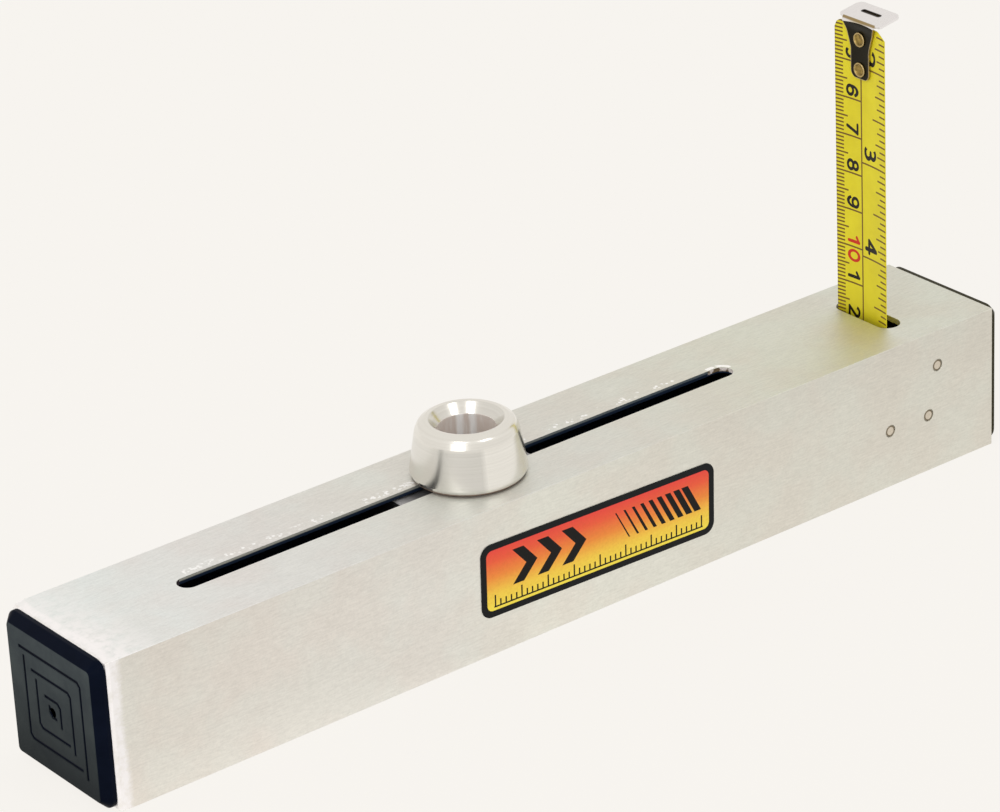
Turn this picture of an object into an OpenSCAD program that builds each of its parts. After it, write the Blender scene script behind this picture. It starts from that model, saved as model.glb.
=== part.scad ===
// Chassis height gauge: a square tube that lies on the floor under a car.
// A knob on a slider pushes a steel blade along the tube, round a roller and up
// through a cross slot, until the hook on its end meets the chassis.
// The tube lies along X with the knob at the left, the base is at Z = 0.

/* [Tube] */
// Length of the tube
tube_l = 270; // [250:0.5:350]
// Outside width and height of the tube
tube_w = 38.1; // [37:0.1:44]
// Wall of the tube
tube_wall = 1.6; // [1.2:0.1:2]
// Length over which the tube's end at the knob is eased
ease_l = 2.8; // [1:0.1:4]
// Depth by which that end is eased
ease_d = 0.55; // [0.2:0.05:0.8]

/* [Slots] */
// From the knob end of the tube to the near end of the knob slot
slot_inset = 32.6; // [28:0.1:34]
// From the tape end of the tube to the far end of the knob slot
slot_outset = 71.2; // [66:0.1:72]
// Width of the knob slot
slot_w = 5.6; // [5.4:0.1:7]
// From the tape end of the tube to the middle of the blade's slot
exit_inset = 25; // [24.8:0.1:25.2]
// Length of the blade's slot, across the tube
exit_l = 20.6; // [20:0.1:26]
// Width of the blade's slot, along the tube
exit_w = 6.6; // [6.4:0.1:7.4]

/* [End caps] */
// Thickness of an end cap's flange
cap_t = 3.4; // [3:0.1:5]
// Step from the tube's side to the edge of the flange
cap_inset = 0.5; // [0.2:0.1:1]
// Bevel round the flange
cap_bevel = 2.1; // [0.5:0.1:2.6]
// Corner radius of the flange
cap_r = 3; // [1:0.1:5]
// Length of the plug inside the tube
plug_l = 11; // [6:0.5:12]
// Wall of the plug and of the web across it
plug_wall = 2.2; // [1.2:0.1:3]
// Width of the fine grooves in the flange's face
groove_w = 0.7; // [0.3:0.1:1]
// Depth of the fine grooves
groove_d = 0.35; // [0.2:0.05:0.8]
// Step from one half of a square groove in to the other half
groove_step = 1.75; // [1:0.05:2]

/* [Label] */
// Length of the label on the front
label_l = 72.1; // [40:0.1:100]
// Height of the label
label_h = 19.1; // [12:0.1:24]
// Thickness of the label
label_t = 0.15; // [0.1:0.05:0.3]
// Corner radius of the label
label_r = 3; // [1:0.1:4]
// From the knob end of the tube to the middle of the label
label_at = 140; // [100:1:170]
// Height of the label's middle
label_z = 18.7; // [16:0.1:22]
// Tilt of the label as it was stuck on, in degrees
label_tilt = 1.4; // [0:0.1:3]

/* [Blade guide] */
// From the tape end of the tube to the roller's pin
roller_inset = 35.2; // [35:0.1:35.4]
// Height of the roller's pin and of the lower block pin
roller_z = 15.4; // [14.4:0.1:17]
// Diameter of the roller that turns the blade upwards
roller_d = 16.1; // [15.8:0.1:16.2]
// Width of the roller
roller_w = 18.6; // [18.2:0.1:24]
// Outside diameter of the roller's spacers
spacer_d = 6; // [4.5:0.1:8]
// Diameter of the three cross pins
pin_d = 3.2; // [2.5:0.1:3.6]
// From the tape end of the tube to the lower block pin
low_pin_inset = 22.1; // [20:0.1:22.6]
// From the tape end of the tube to the upper block pin
high_pin_inset = 19; // [18:0.1:20]
// From the tube's top down to the upper block pin
high_pin_drop = 9.7; // [8.5:0.1:12]
// From the tape end of the tube to the back of the guide block
block_back = 15; // [13.5:0.1:16]

/* [Slider] */
// From the knob end of the tube to the knob, with the blade as it stands
slider_at = 116.5; // [114:0.1:119]
// From the knob end of the tube to the knob when the lowered hook is level with the tube
home_at = 37.5; // [36.2:0.1:38]
// Length of the slider block
slider_l = 40; // [38:0.5:44]
// Gap over the slider block, under the tube's top wall
slider_drop = 0.7; // [0.4:0.1:2]
// Thickness of the plate that clamps the blade
clamp_t = 2; // [1.2:0.1:2.4]
// Length of the blade's stretch inside the clamp
clamp_l = 22; // [20:0.5:24]
// Diameter of the screws that hold the clamp and the knob
screw_d = 4; // [3:0.1:4.2]
// Head diameter of those screws
head_d = 7; // [6:0.1:7.4]
// Head height of the clamp's screws
pan_h = 2.4; // [1.5:0.1:2.6]
// Length of the clamp's screws under their heads
clamp_screw_l = 12; // [8:0.5:13]

/* [Knob] */
// Greatest diameter of the knob
knob_d = 28.4; // [26:0.1:32]
// Diameter at the knob's shoulder
knob_shoulder_d = 25; // [23:0.1:25.6]
// Outside diameter of the knob's rim
knob_rim_d = 20.4; // [19:0.1:21.6]
// Inside diameter of the knob's rim
knob_mouth_d = 18.2; // [16:0.1:18.6]
// Bore of the knob
knob_bore_d = 13.8; // [12:0.1:14.6]
// Height of the knob
knob_h = 13.4; // [12:0.1:16]
// Height of the knob's shoulder
knob_shoulder_h = 10.5; // [8:0.1:11.4]
// Bevel at the knob's foot
knob_foot = 0.7; // [0.3:0.1:1.2]
// Depth of the dished mouth
knob_dish = 2.5; // [1:0.1:4]
// Floor of the knob, under the screw head
knob_floor = 2.4; // [1.5:0.1:3.5]
// Head height of the knob's screw
cap_head_h = 3; // [2.6:0.1:3.4]
// Key socket across its flats
key_w = 3; // [2:0.1:3.5]
// Length of the knob's screw under its head
knob_screw_l = 20; // [14:0.5:22]
// Diameter of the washer under the knob
washer_d = 27; // [18:0.1:27.2]
// Thickness of the washer
washer_t = 0.8; // [0.5:0.1:1.5]

/* [Blade] */
// Width of the steel blade
blade_w = 17.8; // [17.3:0.1:18]
// Thickness of the blade with its paint
blade_t = 0.25; // [0.15:0.05:0.3]
// Depth of the hollow across the blade where it stands free
blade_hollow = 0.85; // [0.6:0.05:1.1]
// From the hook's top down to the end of the blade
blade_drop = 1.5; // [1:0.1:2]
// Cut at the blade's two top corners
blade_snip = 3.2; // [2:0.1:3.6]

/* [Hook] */
// Thickness of the hook's sheet
hook_t = 0.7; // [0.5:0.1:0.9]
// Width of the hook's plate
plate_w = 14.4; // [11:0.1:16]
// Depth of the hook's plate
plate_l = 7.2; // [6:0.1:8]
// Corner radius of the hook's plate
plate_r = 1.4; // [0.5:0.1:2]
// Angle by which the plate tips up, in degrees
plate_tip = 9; // [0:1:12]
// Length of the slit in the plate
slit_l = 6.2; // [4:0.1:8]
// Width of the slit
slit_w = 1.2; // [1:0.1:2]
// Width of the hook's leg at the bend
leg_top_w = 10.8; // [8:0.1:12]
// Width of the hook's leg below its waist
leg_w = 6.5; // [6:0.1:8]
// Length of the hook's leg
leg_l = 15.6; // [15.2:0.1:16]
// From the hook's top down to the leg's waist
waist_drop = 8; // [5:0.1:9]
// From the hook's top down to the upper rivet
rivet_drop = 5.2; // [4.8:0.1:5.4]
// Spacing of the two hollow rivets
rivet_gap = 7.9; // [7:0.1:8]
// Head diameter of the rivets
rivet_head_d = 4.2; // [3.6:0.1:4.8]
// Shank diameter of the rivets
rivet_d = 2.8; // [2.4:0.1:3]
// Eye through the rivets
rivet_eye = 1.6; // [1:0.1:1.8]
// Head height of the rivets
rivet_h = 0.4; // [0.2:0.05:0.5]
// Travel of the hook on its rivets, which makes up for the plate's thickness
hook_float = 0.9; // [0.5:0.1:1]

/* [Fits] */
// Sliding gap between the slider and the tube
slide_gap = 0.3; // [0.2:0.05:0.5]
// Gap between pieces that are fitted together by hand
fit_gap = 0.1; // [0.05:0.01:0.15]
// Gap round a pin, a shank or a turning bore
pin_gap = 0.05; // [0.02:0.01:0.08]
// Gap between the blade and the guide block
blade_gap = 0.275; // [0.2:0.025:0.4]
// Gap between the blade and the roller that it turns
roller_gap = 0.06; // [0.05:0.01:0.08]

/* [Hidden] */
$fn = 64;

// Overrun of every cut, so that no face is left behind
over = tube_wall;
half_l = tube_l / 2;
half_w = tube_w / 2;
bore_w = tube_w - 2 * tube_wall;
roof_z = tube_w - tube_wall;

knob_x = slider_at - half_l;
exposed = slider_at - home_at + hook_float;
hook_z = tube_w + exposed;
exit_x = half_l - exit_inset;
roller_x = half_l - roller_inset;
roller_r = roller_d / 2;
bend_r = roller_r + roller_gap + blade_t / 2;
blade_x = roller_x + bend_r;
run_z = roller_z - bend_r;
crown_x = blade_x + blade_hollow;

slider_w = bore_w - 2 * slide_gap;
slider_low = tube_wall + slide_gap;
slider_high = roof_z - slider_drop;
slider_end = knob_x + slider_l / 2;
clamp_end = slider_end - clamp_l;
pocket_z = run_z + blade_t / 2;
clamp_top = run_z - blade_t / 2;
screw_gap_share = 0.27;
screw_places = [clamp_end + clamp_l * screw_gap_share, slider_end - clamp_l * screw_gap_share];

// The slider hangs from the washer, which runs on the tube's top
washer_z = tube_w + slide_gap - fit_gap;
knob_z = washer_z + washer_t;
knob_r = knob_d / 2;

// Colours as they look in daylight
aluminium = [0.84, 0.83, 0.80];
black_plastic = [0.10, 0.11, 0.12];
steel = [0.66, 0.66, 0.65];
brass = [0.74, 0.60, 0.32];
nylon = [0.86, 0.85, 0.80];
tape_yellow = [0.88, 0.82, 0.16];
warm_red = [0.90, 0.42, 0.20];

// A flat slot shape of a given length and width, its length along X
module slot_shape(length, width) {
    square([length - width, width], center = true);
    for (side = [-1, 1])
        translate([side * (length - width) / 2, 0])
            circle(d = width);
}

// A flat rectangle with true round corners
module round_rect(length, width, radius) {
    square([length - 2 * radius, width], center = true);
    square([length, width - 2 * radius], center = true);
    for (sx = [-1, 1], sy = [-1, 1])
        translate([sx * (length / 2 - radius), sy * (width / 2 - radius)])
            circle(r = radius);
}

// A bar along Y, from one side to the other of the part's middle plane
module cross_bar(diameter, length) {
    rotate([90, 0, 0])
        cylinder(d = diameter, h = length, center = true);
}

// Outline of the tube from the side, with the end at the knob eased in two steps
module eased_outline() {
    step_share = 0.3;
    out = half_l;
    polygon([
        [-out, -half_w + ease_d], [-out + ease_l * step_share, -half_w + ease_d * step_share],
        [-out + ease_l, -half_w], [out, -half_w], [out, half_w], [-out + ease_l, half_w],
        [-out + ease_l * step_share, half_w - ease_d * step_share], [-out, half_w - ease_d]
    ]);
}

module tube_body() {
    color(aluminium)
        difference() {
            intersection() {
                translate([0, 0, half_w])
                    rotate([90, 0, 0])
                        linear_extrude(height = tube_w, center = true)
                            eased_outline();
                linear_extrude(height = tube_w)
                    eased_outline();
            }
            translate([-half_l - over, -bore_w / 2, tube_wall])
                cube([tube_l + 2 * over, bore_w, bore_w]);
            translate([(slot_inset - slot_outset) / 2, 0, roof_z - over])
                linear_extrude(height = tube_wall + 2 * over)
                    slot_shape(tube_l - slot_inset - slot_outset, slot_w);
            translate([exit_x, 0, roof_z - over])
                rotate([0, 0, 90])
                    linear_extrude(height = tube_wall + 2 * over)
                        slot_shape(exit_l, exit_w);
            for (place = concat([roller_place], block_pin_places))
                translate([place[0], 0, place[1]])
                    cross_bar(pin_d + 2 * pin_gap, tube_w + 2 * over);
        }
}

// Places of the cross pins, along the tube and up
roller_place = [roller_x, roller_z];
block_pin_places = [[half_l - low_pin_inset, roller_z], [half_l - high_pin_inset, tube_w - high_pin_drop]];

// Flange with a bevelled edge and round corners, standing on Z = 0 and facing up
module cap_flange() {
    size = tube_w - 2 * cap_inset;
    corner = size / 2 - cap_r;
    hull()
        for (sx = [-1, 1], sy = [-1, 1])
            translate([sx * corner, sy * corner, 0]) {
                cylinder(r = cap_r, h = cap_t - cap_bevel, $fn = 32);
                cylinder(r = cap_r - cap_bevel, h = cap_t, $fn = 32);
            }
}

// One half of a square groove: an L along two sides of the square, with its corner cut
module groove_corner(side, gap) {
    out = side / 2;
    in = out - groove_w;
    cut = groove_w * 1.6;
    in_cut = cut - groove_w * tan(22.5);
    polygon([
        [gap - out, -out], [out - cut, -out], [out, cut - out], [out, out - gap],
        [in, out - gap], [in, in_cut - in], [in - in_cut, -in], [gap - out, -in]
    ]);
}

// Plug-in end cap: the flange at the top, the hollow plug with its web below
module cap_piece() {
    plug_w = bore_w - 2 * fit_gap;
    hole_w = plug_w - 2 * plug_wall;
    face_w = tube_w - 2 * cap_inset - 2 * cap_bevel;
    square_shares = [0.77, 0.5, 0.21];
    gap_share = 0.01;
    dot_share = 0.03;
    color(black_plastic) {
        difference() {
            cap_flange();
            translate([0, 0, cap_t - groove_d])
                linear_extrude(height = groove_d + over) {
                    for (share = square_shares, half = [0, 1])
                        rotate([0, 0, 180 * half])
                            groove_corner(face_w * share - 2 * groove_step * half, face_w * gap_share);
                    circle(d = face_w * dot_share * 2);
                }
        }
        translate([0, 0, -plug_l])
            difference() {
                translate([-plug_w / 2, -plug_w / 2, 0])
                    cube([plug_w, plug_w, plug_l + groove_d]);
                for (side = [-1, 1])
                    translate([side * (hole_w + plug_wall) / 4, 0, (plug_l - over) / 2])
                        cube([(hole_w - plug_wall) / 2, hole_w, plug_l + over], center = true);
            }
    }
}

module knob_end_cap() {
    translate([-half_l, 0, half_w])
        rotate([0, -90, 0])
            cap_piece();
}

module tape_end_cap() {
    translate([half_l, 0, half_w])
        rotate([0, 90, 0])
            cap_piece();
}

module label() {
    color(warm_red)
        translate([label_at - half_l, -half_w, label_z])
            rotate([90, label_tilt, 0])
                linear_extrude(height = label_t)
                    round_rect(label_l, label_h, label_r);
}

// Two dowels through the tube that hold the guide block
module block_pins() {
    color(steel)
        for (place = block_pin_places)
            translate([place[0], 0, place[1]])
                cross_bar(pin_d, tube_w - 2 * fit_gap);
}

// The dowel that the roller turns on
module roller_pin() {
    color(steel)
        translate([roller_x, 0, roller_z])
            cross_bar(pin_d, tube_w - 2 * fit_gap);
}

// Block behind the blade: it hugs the bend, then falls back to let the rivets pass
module guide_block() {
    groove_r = bend_r + blade_t / 2 + blade_gap;
    low = tube_wall + fit_gap;
    high = tube_w - high_pin_drop + pin_d;
    back = half_l - block_back;
    face = crown_x + blade_t / 2 + rivet_h + 2 * blade_gap;
    lip = roller_x - roller_r / 2;
    rise = roller_z + roller_r;
    color(black_plastic)
        difference() {
            rotate([90, 0, 0])
                linear_extrude(height = bore_w - 2 * fit_gap, center = true)
                    polygon([
                        [lip, low], [back, low], [back, high], [face, high], [face, rise],
                        [roller_x + groove_r, roller_z], [roller_x, roller_z - groove_r],
                        [lip, roller_z - groove_r]
                    ]);
            translate([roller_x, 0, roller_z])
                cross_bar(2 * groove_r, bore_w);
            for (place = block_pin_places)
                translate([place[0], 0, place[1]])
                    cross_bar(pin_d + 2 * pin_gap, bore_w);
        }
}

module guide_roller() {
    color(nylon)
        translate([roller_x, 0, roller_z])
            rotate([90, 0, 0])
                difference() {
                    cylinder(d = roller_d, h = roller_w, center = true);
                    cylinder(d = pin_d + 2 * pin_gap, h = roller_w + 2 * over, center = true);
                }
}

// A short tube on each side keeps the roller in the middle of its pin
module roller_spacers() {
    length = (bore_w - roller_w) / 2 - slide_gap;
    color(nylon)
        for (side = [-1, 1])
            translate([roller_x, side * (roller_w + bore_w) / 4, roller_z])
                rotate([90, 0, 0])
                    difference() {
                        cylinder(d = spacer_d, h = length, center = true);
                        cylinder(d = pin_d + 2 * pin_gap, h = length + 2 * over, center = true);
                    }
}

// Block in the tube, with a pocket under its end for the blade and its clamp
module slider_block() {
    pocket_w = blade_w + 4 * slide_gap;
    edge_share = 0.02;
    edge = slider_w * edge_share;
    color(aluminium)
        difference() {
            rotate([90, 0, 0])
                linear_extrude(height = slider_w, center = true)
                    polygon([
                        [knob_x - slider_l / 2, slider_low + edge], [knob_x - slider_l / 2 + edge, slider_low],
                        [slider_end - edge, slider_low], [slider_end, slider_low + edge],
                        [slider_end, slider_high - edge], [slider_end - edge, slider_high],
                        [knob_x - slider_l / 2 + edge, slider_high], [knob_x - slider_l / 2, slider_high - edge]
                    ]);
            translate([clamp_end, -pocket_w / 2, slider_low - over])
                cube([clamp_l + over, pocket_w, pocket_z - slider_low + over]);
            translate([knob_x, 0, knob_z + knob_floor - knob_screw_l - over])
                cylinder(d = screw_d + 2 * pin_gap, h = knob_screw_l);
            for (x = screw_places)
                translate([x, 0, pocket_z - over])
                    cylinder(d = screw_d + 2 * pin_gap, h = clamp_screw_l);
        }
}

// Bush round the knob's screw, which runs in the slot
module slot_bush() {
    color(brass)
        translate([knob_x, 0, slider_high])
            difference() {
                cylinder(d = slot_w - 4 * fit_gap, h = washer_z - slider_high);
                translate([0, 0, -over])
                    cylinder(d = screw_d + 2 * pin_gap, h = washer_z - slider_high + 2 * over);
            }
}

module knob_washer() {
    color(black_plastic)
        translate([knob_x, 0, washer_z])
            difference() {
                cylinder(d = washer_d, h = washer_t);
                translate([0, 0, -over])
                    cylinder(d = screw_d + 2 * pin_gap, h = washer_t + 2 * over);
            }
}

// Turned knob: tapered side, sloping shoulder, dished mouth and a deep bore
module knob() {
    shoulder_r = knob_shoulder_d / 2;
    rim_r = knob_rim_d / 2;
    mouth_r = knob_mouth_d / 2;
    bore_r = knob_bore_d / 2;
    hole_r = screw_d / 2 + pin_gap;
    mid_share = 0.62;
    mid_r = rim_r + (shoulder_r - rim_r) * mid_share;
    mid_h = knob_shoulder_h + (knob_h - knob_shoulder_h) * mid_share;
    color(aluminium)
        translate([knob_x, 0, knob_z])
            rotate_extrude($fn = 128)
                polygon([
                    [hole_r, 0], [knob_r - knob_foot, 0], [knob_r, knob_foot],
                    [shoulder_r, knob_shoulder_h], [mid_r, mid_h], [rim_r, knob_h], [mouth_r, knob_h],
                    [bore_r, knob_h - knob_dish], [bore_r, knob_floor], [hole_r, knob_floor]
                ]);
}

// Socket head screw through knob, washer and bush into the slider block
module knob_screw() {
    color(steel)
        translate([knob_x, 0, knob_z + knob_floor])
            difference() {
                union() {
                    cylinder(d = head_d, h = cap_head_h);
                    translate([0, 0, -knob_screw_l])
                        cylinder(d = screw_d, h = knob_screw_l + cap_head_h / 2);
                }
                translate([0, 0, cap_head_h / 2])
                    cylinder(d = key_w / cos(30), h = cap_head_h, $fn = 6);
            }
}

module blade_clamp() {
    color(steel)
        difference() {
            translate([clamp_end + fit_gap, -blade_w / 2, clamp_top - clamp_t])
                cube([clamp_l - 2 * fit_gap, blade_w, clamp_t]);
            for (x = screw_places)
                translate([x, 0, clamp_top - clamp_t - over])
                    cylinder(d = screw_d + 2 * pin_gap, h = clamp_t + 2 * over);
        }
}

// Two pan head screws from below, through clamp and blade into the block
module clamp_screws() {
    color(steel)
        for (x = screw_places)
            translate([x, 0, clamp_top - clamp_t]) {
                cylinder(d = screw_d, h = clamp_screw_l);
                translate([0, 0, -pan_h])
                    cylinder(d = head_d, h = pan_h);
            }
}

// Stations along the blade: [x, z, outward x, outward z, share of the hollow]
BEND_STEPS = 10;
FLARE_STEPS = 5;
ACROSS = 8;
flare_l = roof_z - roller_z - roller_r / 2;
blade_top = hook_z - blade_drop;
function ease_share(t) = t * t * (3 - 2 * t);
function blade_stations() = concat(
    [[clamp_end, run_z, 0, -1, 0]],
    [for (i = [0 : BEND_STEPS])
        let (a = -90 + 90 * i / BEND_STEPS)
            [roller_x + bend_r * cos(a), roller_z + bend_r * sin(a), cos(a), sin(a), 0]],
    [for (i = [1 : FLARE_STEPS])
        let (t = i / FLARE_STEPS)
            [blade_x, roller_z + flare_l * t, 1, 0, ease_share(t)]],
    [[blade_x, blade_top, 1, 0, 1]]
);

// One ring of points round the blade's section at a station
function blade_ring(s) = [
    for (face = [0, 1], j = [0 : ACROSS])
        let (
            k = face == 0 ? j : ACROSS - j,
            u = 2 * k / ACROSS - 1,
            off = blade_hollow * s[4] * (1 - u * u) + (face - 1 / 2) * blade_t
        )
            [s[0] + s[2] * off, u * blade_w / 2, s[1] + s[3] * off]
];

module tape_blade() {
    stations = blade_stations();
    count = len(stations);
    ring = 2 * (ACROSS + 1);
    points = [for (s = stations) each blade_ring(s)];
    sides = [
        for (i = [0 : count - 2], j = [0 : ring - 1])
            let (a = i * ring + j, b = i * ring + (j + 1) % ring)
                each [[a, b, b + ring], [a, b + ring, a + ring]]
    ];
    last = (count - 1) * ring;
    ends = [
        for (j = [0 : ACROSS - 1])
            let (k = ring - 1 - j)
                each [[k, k - 1, j + 1, j], [last + j, last + j + 1, last + k - 1, last + k]]
    ];
    color(tape_yellow)
        difference() {
            polyhedron(points = points, faces = concat(sides, ends));
            for (x = screw_places)
                translate([x, 0, run_z])
                    cylinder(d = screw_d + 2 * pin_gap, h = 2 * blade_t, center = true, $fn = 24);
            for (drop = [rivet_drop, rivet_drop + rivet_gap])
                translate([crown_x, 0, hook_z - drop])
                    rotate([0, 90, 0])
                        cylinder(d = rivet_d + 2 * pin_gap, h = 4 * blade_t, center = true, $fn = 24);
            for (side = [-1, 1])
                translate([crown_x, side * blade_w / 2, blade_top])
                    rotate([45, 0, 0])
                        cube([4 * blade_hollow, blade_snip, blade_snip], center = true);
        }
}

// Outline of the hook's leg seen from the knob: wide at the bend, narrow below the waist
module leg_outline() {
    square([leg_w, 2 * (leg_l - leg_w / 4)], center = true);
    polygon([
        [-leg_top_w / 2, 0], [leg_top_w / 2, 0],
        [leg_w / 2, -waist_drop], [-leg_w / 2, -waist_drop]
    ]);
    translate([0, -leg_l + leg_w / 2])
        round_rect(leg_w, leg_w, leg_w / 4);
}

// Sheet that lies in the blade's hollow, of the same curve
module leg_shell() {
    curve_r = (blade_w * blade_w / 4 + blade_hollow * blade_hollow) / 2 / blade_hollow;
    outer_r = curve_r - blade_t / 2 - pin_gap;
    translate([crown_x - curve_r, 0, hook_z - leg_l - over])
        difference() {
            cylinder(r = outer_r, h = leg_l + over, $fn = 256);
            translate([0, 0, -over])
                cylinder(r = outer_r - hook_t, h = leg_l + 3 * over, $fn = 256);
        }
}

// Bent sheet hook: the plate on top meets the chassis, the leg is riveted to the blade
module tape_hook() {
    front_x = crown_x - blade_t / 2 - pin_gap - hook_t;
    plate_x = blade_x - blade_t / 2 - hook_t * 0.75;
    hole_l = rivet_d + 2 * pin_gap + hook_float;
    color(steel)
        difference() {
            union() {
                intersection() {
                    leg_shell();
                    translate([crown_x, 0, hook_z - hook_t / 2])
                        rotate([90, 0, 90])
                            linear_extrude(height = 8 * hook_t, center = true)
                                leg_outline();
                }
                translate([plate_x, 0, hook_z - hook_t])
                    rotate([0, -plate_tip, 0])
                        translate([plate_l / 2, 0, 0])
                            linear_extrude(height = hook_t)
                                difference() {
                                    round_rect(plate_l, plate_w, plate_r);
                                    translate([plate_l / 12, 0])
                                        rotate([0, 0, 90])
                                            slot_shape(slit_l, slit_w);
                                }
            }
            for (drop = [rivet_drop, rivet_drop + rivet_gap])
                translate([front_x, 0, hook_z - drop + hook_float / 2])
                    rotate([0, 90, 0])
                        linear_extrude(height = 6 * hook_t, center = true)
                            slot_shape(hole_l, rivet_d + 2 * pin_gap);
        }
}

// Two hollow rivets with a head on each side of hook and blade
module hook_rivets() {
    front_x = crown_x - blade_t / 2 - 2 * pin_gap - hook_t;
    back_x = crown_x + blade_t / 2 + pin_gap;
    color(brass)
        for (drop = [rivet_drop, rivet_drop + rivet_gap])
            translate([0, 0, hook_z - drop])
                rotate([0, 90, 0])
                    difference() {
                        union() {
                            translate([0, 0, front_x - rivet_h])
                                cylinder(d = rivet_head_d, h = rivet_h);
                            translate([0, 0, front_x - rivet_h])
                                cylinder(d = rivet_d, h = back_x - front_x + 2 * rivet_h);
                            translate([0, 0, back_x])
                                cylinder(d = rivet_head_d, h = rivet_h);
                        }
                        translate([0, 0, front_x - rivet_h - over])
                            cylinder(d = rivet_eye, h = back_x - front_x + 2 * rivet_h + 2 * over);
                    }
}

tube_body();
knob_end_cap();
tape_end_cap();
label();
block_pins();
roller_pin();
guide_block();
guide_roller();
roller_spacers();
slider_block();
slot_bush();
knob_washer();
knob();
knob_screw();
blade_clamp();
clamp_screws();
tape_blade();
tape_hook();
hook_rivets();
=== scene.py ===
"""Chassis height gauge, dressed for the camera.

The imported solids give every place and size. Lengths here are in metres, in the part's own frame:
X along the tube with the knob at the left, Z up from the floor, the labelled side towards -Y.
"""

import math
from functools import partial, reduce

import bmesh
import bpy
import numpy as np

from mathutils import Matrix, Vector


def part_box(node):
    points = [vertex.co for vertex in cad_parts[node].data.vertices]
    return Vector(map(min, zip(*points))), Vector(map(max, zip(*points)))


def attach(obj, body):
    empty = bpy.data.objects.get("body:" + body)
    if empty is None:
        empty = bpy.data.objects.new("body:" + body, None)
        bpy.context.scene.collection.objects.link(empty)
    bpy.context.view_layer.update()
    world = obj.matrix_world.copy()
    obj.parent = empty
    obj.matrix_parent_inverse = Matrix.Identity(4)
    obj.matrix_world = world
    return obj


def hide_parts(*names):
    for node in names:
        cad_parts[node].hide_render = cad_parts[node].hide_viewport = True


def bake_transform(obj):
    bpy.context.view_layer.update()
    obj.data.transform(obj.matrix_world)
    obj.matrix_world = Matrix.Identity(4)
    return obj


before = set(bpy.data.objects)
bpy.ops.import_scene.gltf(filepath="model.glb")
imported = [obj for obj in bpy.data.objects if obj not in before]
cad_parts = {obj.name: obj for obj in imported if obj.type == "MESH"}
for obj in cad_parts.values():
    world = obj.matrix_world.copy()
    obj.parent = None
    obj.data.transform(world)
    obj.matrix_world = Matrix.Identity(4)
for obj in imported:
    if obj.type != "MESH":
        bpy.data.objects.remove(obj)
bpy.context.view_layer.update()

MM = 0.001

# ---------------------------------------------------------------- sizes from the solids
tube_low, tube_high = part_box("tube_body")
knob_low, knob_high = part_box("knob")
_, blade_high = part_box("tape_blade")
label_low, label_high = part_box("label")
pin_low, pin_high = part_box("roller_pin")
_, slider_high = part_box("slider_block")

TUBE_TOP = tube_high[2]
TUBE_L = tube_high[0] - tube_low[0]
PIN_R = (pin_high[0] - pin_low[0]) / 2
KNOB_X = (knob_low[0] + knob_high[0]) / 2
KNOB_Z = knob_low[2]
ROLLER_X = (pin_low[0] + pin_high[0]) / 2
ROLLER_Z = (pin_low[2] + pin_high[2]) / 2

block_low, block_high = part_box("block_pins")
PIN_PLACES = [(ROLLER_X, ROLLER_Z), (block_low[0] + PIN_R, block_low[2] + PIN_R),
              (block_high[0] - PIN_R, block_high[2] - PIN_R)]

# sizes that a box doesn't hold, as in the part's source
BLADE_W = 17.8 * MM
BLADE_T = 0.25 * MM
BLADE_HOLLOW = 0.85 * MM
BEND_R = 8.235 * MM
BLADE_X = ROLLER_X + BEND_R
RUN_Z = ROLLER_Z - BEND_R
HOOK_Z = 118.0 * MM
HOOK_T = 0.7 * MM
FIT = 0.05 * MM
LEG_L = 15.6 * MM
RIVET_DROPS = (5.2 * MM, 13.1 * MM)
LABEL_TILT = math.radians(1.4)

# edges that turn more than this, in degrees, are eased
SHARP_ANGLE = 28.0


# ---------------------------------------------------------------- objects and camera
def add_object(name, data):
    """An object at the origin, in the scene."""
    thing = bpy.data.objects.new(name, data)
    bpy.context.scene.collection.objects.link(thing)
    return thing


def turned_to(across, upward, back, place):
    """The matrix that puts an object's own X, Y and Z along three directions, at a place."""
    return Matrix(np.vstack([np.stack([across, upward, back, place], axis=1), (0, 0, 0, 1)]).tolist())


def set_camera():
    """The camera fitted to the photograph: place, azimuth, elevation, roll, and its lens for 36 mm film."""
    place = np.array([-584.42, -755.15, 507.55]) * MM
    azimuth, elevation, roll = (math.radians(a) for a in (37.34, 25.627, -2.816))
    back = np.array([-math.sin(azimuth) * math.cos(elevation), -math.cos(azimuth) * math.cos(elevation),
                     math.sin(elevation)])
    right = np.array([math.cos(azimuth), -math.sin(azimuth), 0])
    up = np.cross(back, right)
    across = math.cos(roll) * right + math.sin(roll) * up
    upward = -math.sin(roll) * right + math.cos(roll) * up
    data = bpy.data.cameras.new("camera")
    data.sensor_width, data.lens, data.clip_start, data.clip_end = 36, 160.08, 0.05, 50
    camera = add_object("camera", data)
    camera.matrix_world = turned_to(across, upward, back, place)
    bpy.context.scene.camera = camera


set_camera()


# ---------------------------------------------------------------- meshes
def make_piece(name, points, faces, smooth_angle=35.0):
    """A mesh object at the origin from an array of points and a list of faces."""
    mesh = bpy.data.meshes.new(name)
    mesh.from_pydata(np.asarray(points, float).reshape(-1, 3).tolist(), [], [tuple(f) for f in faces])
    finish_mesh(mesh, smooth_angle)
    return add_object(name, mesh)


def finish_mesh(mesh, smooth_angle):
    """Smooth shading, with a crease where faces meet at more than the angle."""
    mesh.polygons.foreach_set("use_smooth", np.ones(len(mesh.polygons), bool))
    mesh.set_sharp_from_angle(angle=math.radians(smooth_angle))
    mesh.update()


def add_lengths(mesh, name, values):
    """Keeps a length with each point of a mesh, for its material."""
    attribute = mesh.attributes.new(name, "FLOAT", "POINT")
    attribute.data.foreach_set("value", np.asarray(values, np.float32).ravel())


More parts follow.
